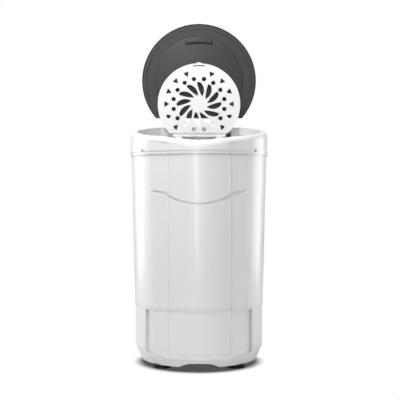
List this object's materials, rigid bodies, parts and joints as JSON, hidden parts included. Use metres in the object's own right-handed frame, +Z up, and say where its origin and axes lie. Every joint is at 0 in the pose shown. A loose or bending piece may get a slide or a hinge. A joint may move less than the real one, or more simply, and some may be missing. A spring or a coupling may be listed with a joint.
{
  "type": "spin dryer",
  "caption": "Upright laundry spin dryer: tapered white body, slanted top cover, hinged dark outer lid and a hinged perforated inner safety lid, both open",
  "frame": {"origin": "on the floor under the centre of the object's box, which is the drum's axis", "axes": "+Z up along the drum's axis, -Y to the front, +Y to the lid hinges, +X to the right seen from the front"},
  "size_m": [0.3808, 0.3596, 0.9657],
  "materials": {
    "body_white": "smooth moulded white",
    "lid_grey": "fine grained dark grey",
    "inner_white": "smooth moulded white",
    "black_plastic": "moulded black",
    "rubber": "moulded black rubber",
    "tub_white": "moulded off-white",
    "steel": "brushed",
    "motor_paint": "painted dark grey",
    "copper_wound": "laminations and enamelled wire",
    "pad": "pressed friction pad",
    "capacitor": "drawn can",
    "iron": "turned"
  },
  "bodies": {
    "housing": {"base_shell": "body_white", "base_pan": "body_white", "cabinet_shell": "body_white", "top_cover": "body_white", "feet": "rubber", "foot_screws": "steel", "cover_screws": "steel", "cabinet_screws": "steel", "outer_tub": "tub_white", "tub_gasket": "rubber", "tub_screws": "steel", "shaft_seal": "rubber", "drain_hose": "rubber", "drain_spout": "black_plastic", "cable_gland": "black_plastic", "motor_plate": "steel", "rubber_mounts": "rubber", "mount_nuts": "steel", "motor_can": "motor_paint", "stator": "copper_wound", "motor_bearings": "steel", "capacitor": "capacitor", "capacitor_clip": "steel", "interlock_tower": "black_plastic", "rod_guide": "black_plastic", "lid_switch": "black_plastic", "brake_pin": "steel", "lid_hinge_pins": "steel", "disc_hinge_pins": "steel"},
    "outer_lid": {"lid_shell": "lid_grey", "lid_liner": "lid_grey", "hinge_arms": "lid_grey", "arm_screws": "steel"},
    "inner_lid_leaf": {"inner_lid": "inner_white"},
    "drum": {"basket": "steel", "balance_ring": "tub_white", "basket_hub": "black_plastic", "hub_nut": "steel", "drive_shaft": "steel", "brake_drum": "iron", "rotor": "iron"},
    "brake_arm": {"brake_lever": "steel", "brake_pad": "pad"},
    "rod": {"interlock_rod": "black_plastic"}
  },
  "joints": [
    {"name": "outer_lid_hinge", "type": "hinge", "parent": "housing", "child": "outer_lid", "pos_m": [0, 0.15002, 0.64722], "axis": [1, 0, 0], "range_deg": [0, 99.8]},
    {"name": "inner_lid_hinge", "type": "hinge", "parent": "housing", "child": "inner_lid_leaf", "pos_m": [0, 0.10926, 0.61887], "axis": [1, 0, 0], "range_deg": [0, 104]},
    {"name": "drum_spin", "type": "hinge", "parent": "housing", "child": "drum", "pos_m": [0, 0, 0.3], "axis": [0, 0, 1], "continuous": true},
    {"name": "rod_slide", "type": "slide", "parent": "housing", "child": "rod", "axis": [0, 0, -1], "range_m": [0, 0.012]},
    {"name": "brake_pivot", "type": "hinge", "parent": "housing", "child": "brake_arm", "pos_m": [0.03407, 0.04939, 0.146], "axis": [-0.8231, 0.5679, 0], "range_deg": [0, 7.4]}
  ],
  "couplings": [
    {"joint": "inner_lid_hinge", "follows": "outer_lid_hinge", "ratio": 1.0421},
    {"joint": "rod_slide", "follows": "outer_lid_hinge", "m_per_rad": 0.0068893},
    {"joint": "brake_pivot", "follows": "outer_lid_hinge", "ratio": 0.074129}
  ]
}
